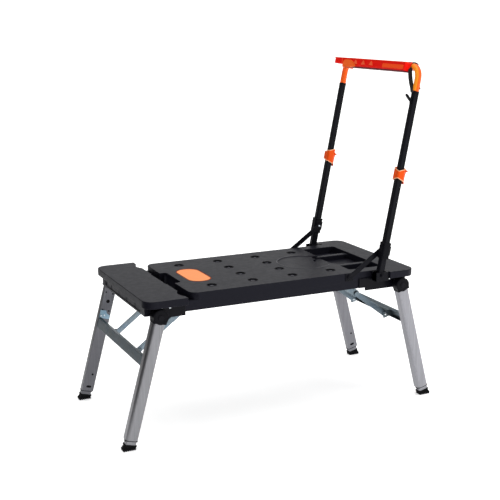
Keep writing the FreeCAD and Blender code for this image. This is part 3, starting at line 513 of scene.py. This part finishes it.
# ---------------------------------------------------------------- leg details
def leg_details(side, flank):
    """Rivets, ports painted dark as shade, end cap, foot stem in its leg's painted light or shade, shoe and
    hinge-cap boss of one leg.
    """
    name = f"{SIDE_NAMES[side]}_{FLANK_NAMES[flank]}"
    body = f"{SIDE_NAMES[side]}_legs"
    space = LEG_SPACE[side]
    inner = flank * LEG_INNER
    middle = flank * LEG_MIDDLE

    work = bmesh.new()
    for x, z in ((-13, -40), (13, -43), (-12, -104), (12, -106)):
        turned(work, [(2.8, flank * 0.4), (2.8, -flank * 0.5), (2.0, -flank * 1.1), (0.7, -flank * 1.4)],
               1, (x, inner, z), steps=18)
    built(work, name + "_leg_rivets", SHADE, body, "black_steel", space, bevel=0)

    # the ports are near-black discs and a slot on the inner face: painted shade of the holes
    work = bmesh.new()
    turned(work, [(6.4, flank * 0.3), (6.4, -flank * 0.25), (5.6, -flank * 0.45), (5.0, -flank * 0.12)],
           1, (1, inner, -72), steps=24)
    turned(work, [(3.8, flank * 0.3), (3.8, -flank * 0.25), (3.2, -flank * 0.45), (2.8, -flank * 0.12)],
           1, (5, inner, -343), steps=20)
    prism(work, rounded(9, 4, 3.6, (-side, -389)), 1, inner - 0.35, inner + 0.35)
    built(work, name + "_leg_port_shades", SHADE, body, "black_plastic", space, bevel=0.15)

    work = bmesh.new()
    prism(work, rounded(20.2, 14.2, 6, (0, middle)), 2, -407.6, -404.6)
    for x in (-1, 1):
        box(work, (x * 19 - 1.5, x * 19 + 1.5), (middle - 6, middle + 6), (-411, -407))
    built(work, name + "_end_cap", BLACK, body, "black_plastic", space, bevel=0.4)

    # the foot stem uses its leg's copy of the metal, with that leg's painted light or shade
    work = bmesh.new()
    prism(work, rounded(17.6, 11.8, 4, (side * 0.5, middle)), 2, -421, -407)
    built(work, name + "_foot_stem", LEG[side, flank], body, "leg_aluminium", space, bevel=0.5)

    shoe = bmesh.new()
    prism(shoe, rounded(20.5, 14, 5, (0, middle)), 2, -424, -419.4)
    leg_pose = posed(side * LEG_PIVOT_X, LEG_PIVOT_Z, -side * LEAN)
    bmesh.ops.transform(shoe, matrix=leg_pose, verts=shoe.verts)
    sole_x = side * (LEG_PIVOT_X + 439 * math.sin(LEAN))
    top = [leg_pose @ Vector((x, middle + y, -422)) for x in (-17, 17) for y in (-11.5, 11.5)]
    bottom = [Vector((sole_x + x, middle + y, 8)) for x in (-19.5, 19.5) for y in (-12.5, 12.5)]
    hull = [shoe.verts.new(point) for point in top + bottom]
    bmesh.ops.convex_hull(shoe, input=hull)
    prism(shoe, rounded(22, 14, 5, (sole_x, middle + flank * 0.5)), 2, 3, 9)
    for rib in range(6):
        centre = sole_x - 18 + rib * 7.2
        box(shoe, (centre - 2.4, centre + 2.4), (middle - 12.5, middle + 13), (0.2, 3.4))
    for rib in range(5):
        centre = sole_x - 14 + rib * 7
        box(shoe, (centre - 1, centre + 1), (middle - 13.4, middle + 13.4), (9, 14))
    built(shoe, name + "_shoe", RUBBER, body, "foot_rubber", DECK_SPACE, bevel=0.5, steps=1,
          stands_for=(f"{name}_foot",))

    work = bmesh.new()
    outer = flank * CAP_FACE
    turned(work, [(22.5, -flank * 0.4), (22.5, flank * 0.5), (20.5, flank * 0.9), (19.2, flank * 0.2)],
           1, (0, outer, 0), steps=40)
    built(work, name + "_cap_boss", BLACK, body, "black_plastic", space, bevel=0)


# ---------------------------------------------------------------- braces
def bead(work, length, width, y, rise):
    """A pressed rib along a bar that starts at the origin and runs along X."""
    prism(work, rounded(length / 2, width / 2, width / 2 - 0.01, (length / 2 + 14, 0)), 1, y, y + rise)


def brace_details():
    """Beads on both faces of the upper and lower links."""
    for side in (-1, 1):
        upper_turn = BRACE_SLOPE if side > 0 else math.pi - BRACE_SLOPE
        upper_space = placed(side * BRACE_ANCHOR_X, BRACE_ANCHOR_Z, upper_turn)
        x = side * (LEG_PIVOT_X + CROSS_STATION * math.sin(LEAN) - BRACE_SETBACK * math.cos(LEAN))
        z = LEG_PIVOT_Z - CROSS_STATION * math.cos(LEAN) - BRACE_SETBACK * math.sin(LEAN)
        lower_space = placed(x, z, math.pi + BRACE_SLOPE if side > 0 else -BRACE_SLOPE)
        # the faces that pass each other when the brace folds carry a shallower bead
        for label, space, faces, length, width in (
                ("upper", upper_space, ((98.5, -0.9), (103.5, 0.4)), 88, 12),
                ("lower", lower_space, ((104.5, -0.4), (109.5, 0.9)), 124, 8)):
            work = bmesh.new()
            for flank in (-1, 1):
                for face, rise in faces:
                    bead(work, length, width, flank * face, flank * rise)
            built(work, f"{SIDE_NAMES[side]}_{label}_beads", ZINC, f"{SIDE_NAMES[side]}_{label}_links",
                  "zinc_steel", space, bevel=0.35, steps=1)


# ---------------------------------------------------------------- handle details
def clamp(flank):
    """Flared clamp collar, taller on its inner and far sides, with pale lips painted on as a highlight, and
    its lever.
    """
    name = FLANK_NAMES[flank]
    centre = 352 if flank < 0 else 358
    # local x, distance outwards from the tube's middle, reach below and above the centre
    outline = [(-15.6, 13.5, 13.5, 13), (-12.5, 16.6, 13.5, 13), (8, 16.6, 22, 20), (14, 12, 23, 21),
               (14, -12, 26, 26), (8, -16, 28, 28), (-12, -16, 20.5, 21), (-15.5, -12, 20.5, 21)]
    hole = [(-11.2, 11.2), (-11.2, 11.2), (11.2, 11.2), (11.2, 11.2),
            (11.2, -11.2), (11.2, -11.2), (-11.2, -11.2), (-11.2, -11.2)]
    work = bmesh.new()
    rings = []
    for level, sign in enumerate((-1, 1)):
        outer = [work.verts.new((x, flank * (FLANK_TUBE + out), centre + sign * (low, high)[level]))
                 for x, out, low, high in outline]
        bore = [work.verts.new((hx, flank * (FLANK_TUBE + hy), centre + sign * ((low, high)[level] - 1.5)))
                for (hx, hy), (_, _, low, high) in zip(hole, outline)]
        rings.append((outer, bore))
    for index in range(len(outline)):
        after = (index + 1) % len(outline)
        (low_out, low_in), (high_out, high_in) = rings
        work.faces.new((low_out[index], low_out[after], high_out[after], high_out[index]))
        work.faces.new((low_in[index], low_in[after], high_in[after], high_in[index]))
        work.faces.new((low_out[index], low_out[after], low_in[after], low_in[index]))
        work.faces.new((high_out[index], high_out[after], high_in[after], high_in[index]))
    bmesh.ops.remove_doubles(work, verts=work.verts, dist=0.001)
    built(work, f"{name}_clamp_collar", ORANGE, "handle_base", "orange_plastic", HANDLE_SPACE, bevel=0.9,
          stands_for=(f"{name}_clamp",))

    # the pale lips along the collar's top and bottom edges are a painted highlight
    work = bmesh.new()
    for level, sign in enumerate((-1, 1)):
        path = [(x * 1.015, flank * (FLANK_TUBE + out * 1.015), centre + sign * ((low, high)[level] - 1.2))
                for x, out, low, high in outline]
        swept(work, path, strip(2.6, 1.5), (0, 0, 1), closed=True)
    built(work, f"{name}_clamp_highlight_lips", ORANGE_HIGHLIGHT, "handle_base", "orange_plastic", HANDLE_SPACE, bevel=0.3)

    y = flank * FLANK_TUBE
    work = bmesh.new()
    prism(work, [(14.6, 371), (17, 373), (20, 370.5), (20.6, 366), (19.6, 361), (18, 350), (17.8, 335),
                 (20, 321), (17.2, 320), (15, 332), (14.6, 350)], 1, y - 9, y + 9)
    for z in (327, 333, 339):
        box(work, (17.4, 19), (y - 6.5, y + 6.5), (z - 1, z + 1))
    built(work, f"{name}_lever_paddle", ORANGE, f"{name}_lever", "orange_plastic", HANDLE_SPACE, bevel=0.7,
          stands_for=(f"{name}_clamp_lever",))


def collar_details():
    """Bands round the sliding collars, and the beads and rivets of the stays."""
    work = bmesh.new()
    for flank in (-1, 1):
        for z in (60.5, 72, 100, 111.5):
            swept(work, [(x, y, z) for x, y in rounded(15.3, 15.3, 6, (0, flank * FLANK_TUBE))],
                  strip(3.4, 1.6), (0, 0, 1), closed=True)
        box(work, (20, 21.6), (flank * FLANK_TUBE - 5, flank * FLANK_TUBE + 5), (78, 94))
    built(work, "collar_bands", BLACK, "collars", "black_plastic", HANDLE_SPACE, bevel=0.5)

    beads, dots = bmesh.new(), bmesh.new()
    for flank in (-1, 1):
        for face, rise in ((STAY_INNER, -0.8), (STAY_OUTER, 0.3)):
            bead(beads, 123, 8, flank * face, flank * rise)
        for x in (0, STAY_LENGTH):
            turned(dots, [(4.2, 0), (4.2, -flank * 0.6), (3, -flank * 1.5), (1.2, -flank * 1.9)],
                   1, (x, flank * STAY_INNER, 0), steps=20)
    space = placed(STAY_BASE_X, STAY_BASE_Z, -STAY_SLOPE)
    built(beads, "stay_beads", STEEL, "stays", "black_steel", space, bevel=0.35, steps=1)
    built(dots, "stay_rivets", SHINY, "stays", "zinc_steel", space, bevel=0)


def grip_details():
    """Bushes under the grip, a band round its front bend painted paler as a highlight, the bag hook and the
    wrist strap.
    """
    work = bmesh.new()
    for flank in (-1, 1):
        prism(work, rounded(10.6, 10.6, 5, (0, flank * FLANK_TUBE)), 2, 627, 635.5)
        prism(work, rounded(10.9, 10.9, 7, (0, flank * FLANK_TUBE)), 2, 633.5, 636)
    built(work, "grip_bushes", BLACK, "handle_top", "black_plastic", HANDLE_SPACE, bevel=0.5)

    # a paler skin over the left side of the front bend: a painted highlight
    bend_radius = 40
    bend = [(0, bend_radius * (1 - math.cos(math.radians(a))) - FLANK_TUBE,
             REACH - bend_radius * (1 - math.sin(math.radians(a)))) for a in range(0, 91, 9)]
    arc = [math.radians(a) for a in range(150, 243, 10)]
    section = [(11.3 * math.cos(a), 11.3 * math.sin(a)) for a in arc]
    section += [(10.7 * math.cos(a), 10.7 * math.sin(a)) for a in reversed(arc)]
    work = bmesh.new()
    swept(work, [(0, -FLANK_TUBE, 637), (0, -FLANK_TUBE, 657)] + bend, section, (1, 0, 0))
    built(work, "grip_highlight_band", GRIP_HIGHLIGHT, "handle_top", "orange_paint", HANDLE_SPACE, bevel=0)

    work = bmesh.new()
    turned(work, [(3.4, -2), (4.6, 1.5), (5.0, 8), (5.0, 22), (4.4, 27), (2.8, 30.2), (1.0, 31.4)],
           2, (0, 0, 0), steps=24)
    tilt = Matrix.Translation((-12.2, -FLANK_TUBE, 601)) @ Matrix.Rotation(math.radians(-51), 4, "Y")
    bmesh.ops.transform(work, matrix=tilt, verts=work.verts)
    prism(work, rounded(6, 8, 3, (-FLANK_TUBE, 600)), 0, -12.4, -9.5)
    built(work, "bag_hook_peg", BLACK, "handle_top", "black_plastic", HANDLE_SPACE, bevel=0.6,
          stands_for=("bag_hook",))

    front = [(-13, -240, 630), (-13.2, -233, 643), (-13.8, -222, 660), (-14, -212, 678),
             (-14, -204, 697), (-13.4, -199.5, 713), (-10, -198.5, 725)]
    path = front + [(0, -200, 731)] + [(-x, y, z) for x, y, z in reversed(front[1:])]
    work = bmesh.new()
    swept(work, path, strip(14, 1.8), (0.85, -0.5, 0))
    built(work, "wrist_strap_loop", WEBBING, "handle_top", "webbing", HANDLE_SPACE, bevel=0.4,
          stands_for=("wrist_strap",))
    work = bmesh.new()
    stitches = 7
    for step in range(stitches):
        share = step / stitches
        for edge in (-5, 5):
            x, y = -14.2 + edge * 0.85, -232.6 + share * 20 - edge * 0.5
            box(work, (x - 1.6, x + 0.2), (y - 0.7, y + 0.3), (643 + share * 36, 645.4 + share * 36))
    built(work, "strap_stitches", STEEL, "handle_top", "webbing", HANDLE_SPACE, bevel=0.15, steps=1)


def bin_details():
    """Rim painted pale as a highlight, keel, lower edge painted dark as shade, plain panel and clip of the
    parts tray on the grip.
    """
    face = -38
    top = REACH + 9
    work = bmesh.new()
    # the rim, the three triangles and the small tab are paler than the tray: a painted highlight
    swept(work, [(x, y, top - 0.4) for x, y in
                 ((face, -200), (-13, -200), (-13, 200), (-13, 260), (face, 260))],
          strip(1.6, 3.2), (0, 0, 1), closed=True)
    for number in range(3):
        y = 112 - number * 52
        prism(work, [(y - 13, REACH - 11), (y + 13, REACH - 11), (y + 2, REACH + 4), (y - 2, REACH + 4)],
              0, face - 1.3, face + 0.3)
    prism(work, rounded(1.3, 10, 1, (206, REACH - 1.5)), 0, face - 1.2, face + 0.3)
    built(work, "bin_rim_highlight", BIN_HIGHLIGHT, "handle_top", "bin_red", HANDLE_SPACE, bevel=0.5)

    work = bmesh.new()
    prism(work, [(-38.4, REACH - 12.4), (-12, REACH - 12.4), (-14, REACH - 20), (-37.4, REACH - 20)],
          1, -199, 198)
    built(work, "bin_keel", BIN, "handle_top", "bin_red", HANDLE_SPACE, bevel=0.8)

    # the lower edge is painted shade, a dark copy of the tray red under the tray
    work = bmesh.new()
    prism(work, [(-37.6, REACH - 19.8), (-13.8, REACH - 19.8), (-15.5, REACH - 24.5), (-35.5, REACH - 24.5)],
          1, -199, 198)
    built(work, "bin_lower_edge_shade", BIN_SHADE, "handle_top", "bin_red", HANDLE_SPACE, bevel=0.8)

    work = bmesh.new()
    prism(work, rounded(64, 7, 4, (-130, REACH - 8)), 0, face - 1.1, face + 0.3)
    built(work, "bin_panel", BIN_LABEL, "handle_top", "bin_red", HANDLE_SPACE, bevel=0.4)

    work = bmesh.new()
    # the clip holds the grip's rear bend, and its thin tab ends the rim
    outline = [(199, REACH - 12), (196, REACH - 5), (190, REACH), (181, REACH + 3), (150, REACH + 3),
               (137, REACH), (124, REACH - 6), (112, REACH - 13), (108, REACH - 19), (124, REACH - 22),
               (144, REACH - 24), (199, REACH - 24)]
    prism(work, outline, 0, face - 2, face + 2)
    box(work, (face + 1, 4), (190, 199.5), (REACH - 26, REACH - 13))
    prism(work, [(258, top - 1.8), (282, top - 0.9), (282, top), (258, top)], 0, face, -22)
    built(work, "bin_clip", GRIP, "handle_top", "orange_plastic", HANDLE_SPACE, bevel=1.2)


deck_details()
for side in (-1, 1):
    for flank in (-1, 1):
        leg_details(side, flank)
brace_details()
for flank in (-1, 1):
    clamp(flank)
collar_details()
grip_details()
bin_details()


# ---------------------------------------------------------------- stage
FLOOR_REACH = 250
FLOOR_DROP = 0.0005


def make_floor():
    """A plain white floor, just under the shoes."""
    work = bmesh.new()
    bmesh.ops.create_grid(work, x_segments=2, y_segments=2, size=FLOOR_REACH)
    floor = added("floor", mesh_of(work, "floor"))
    floor.location.z = -FLOOR_DROP
    made = Finish("floor_paper", (0.93, 0.93, 0.93), 0.9, specular=0.1)
    made.tint(made.ramp(made.noise(3, 3.0), 0.4, 0.6, 0.0, 0.1), (0.9, 0.9, 0.9))
    made.shader.inputs["Emission Color"].default_value = (1, 1, 1, 1)
    made.shader.inputs["Emission Strength"].default_value = 0.5
    floor.data.materials.append(made.material)


def area_light(name, place, target, size, power):
    """A rectangular lamp aimed at a point."""
    data = bpy.data.lights.new(name, "AREA")
    data.shape = "RECTANGLE"
    data.size, data.size_y = size
    data.energy = power
    lamp = added(name, data)
    lamp.location = place
    lamp.rotation_euler = (Vector(target) - Vector(place)).to_track_quat("-Z", "Y").to_euler()


# direction of each soft white area of the studio, where it fades in and is full, and its strength
WORLD_AREAS = (((0.46, 0.888, 0), 0.8, 0.965, 1.0), ((0, 0, 1), 0.4, 0.98, 0.4),
               ((0.6, -0.8, 0), 0.3, 1.0, 0.5), ((-0.8, -0.1, 0.6), 0.2, 1.0, 0.5))
WORLD_BASE = 0.07


def make_world():
    """A dim studio with soft white areas behind the object, overhead, in front and high at the left."""
    world = bpy.data.worlds.new("studio")
    world.use_nodes = True
    tree = world.node_tree
    place = tree.nodes.new("ShaderNodeTexCoord").outputs["Generated"]
    total = None
    for direction, low, high, gain in WORLD_AREAS:
        dot = tree.nodes.new("ShaderNodeVectorMath")
        dot.operation = "DOT_PRODUCT"
        dot.inputs[1].default_value = direction
        tree.links.new(place, dot.inputs[0])
        lobe = tree.nodes.new("ShaderNodeMapRange")
        lobe.interpolation_type = "SMOOTHSTEP"
        for key, number in (("From Min", low), ("From Max", high), ("To Min", 0.0), ("To Max", gain)):
            lobe.inputs[key].default_value = number
        tree.links.new(dot.outputs["Value"], lobe.inputs["Value"])
        add = tree.nodes.new("ShaderNodeMath")
        add.operation = "ADD"
        tree.links.new(lobe.outputs["Result"], add.inputs[0])
        if total:
            tree.links.new(total, add.inputs[1])
        else:
            add.inputs[1].default_value = WORLD_BASE
        total = add.outputs["Value"]
    tree.links.new(total, tree.nodes["Background"].inputs["Strength"])
    tree.nodes["Background"].inputs["Color"].default_value = (1, 1, 1, 1)
    bpy.context.scene.world = world


def dark_card():
    """A black board left of the object, which darkens what the legs' outer faces reflect."""
    work = bmesh.new()
    prism(work, [(-1.2, 0.01), (3.2, 0.01), (3.2, 0.75), (-1.2, 0.75)], 0, -1.32, -1.3)
    bmesh.ops.recalc_face_normals(work, faces=work.faces)
    card = added("dark_card", mesh_of(work, "dark_card"))
    card.data.materials.append(SHADE)
    card.visible_camera = False
    card.visible_shadow = False


make_floor()
dark_card()
make_world()
area_light("key_light", (2.4, -2.8, 2.6), (0, 0, 0.4), (1.6, 1.6), 45)
sun = bpy.data.lights.new("overhead", "SUN")
sun.energy = 1.5
sun.angle = math.radians(70)
overhead = added("overhead", sun)
overhead.rotation_euler = (math.radians(-12), math.radians(8), 0)
bpy.context.scene.view_settings.view_transform = "Standard"

lens = bpy.data.cameras.new("photo_camera")
lens.lens = 71.95
lens.sensor_width = 36
camera = added("photo_camera", lens)
camera.location = (-1.49300, -3.05418, 1.33775)
camera.rotation_euler = (math.radians(76.815), 0, math.radians(-25.768))
bpy.context.scene.camera = camera
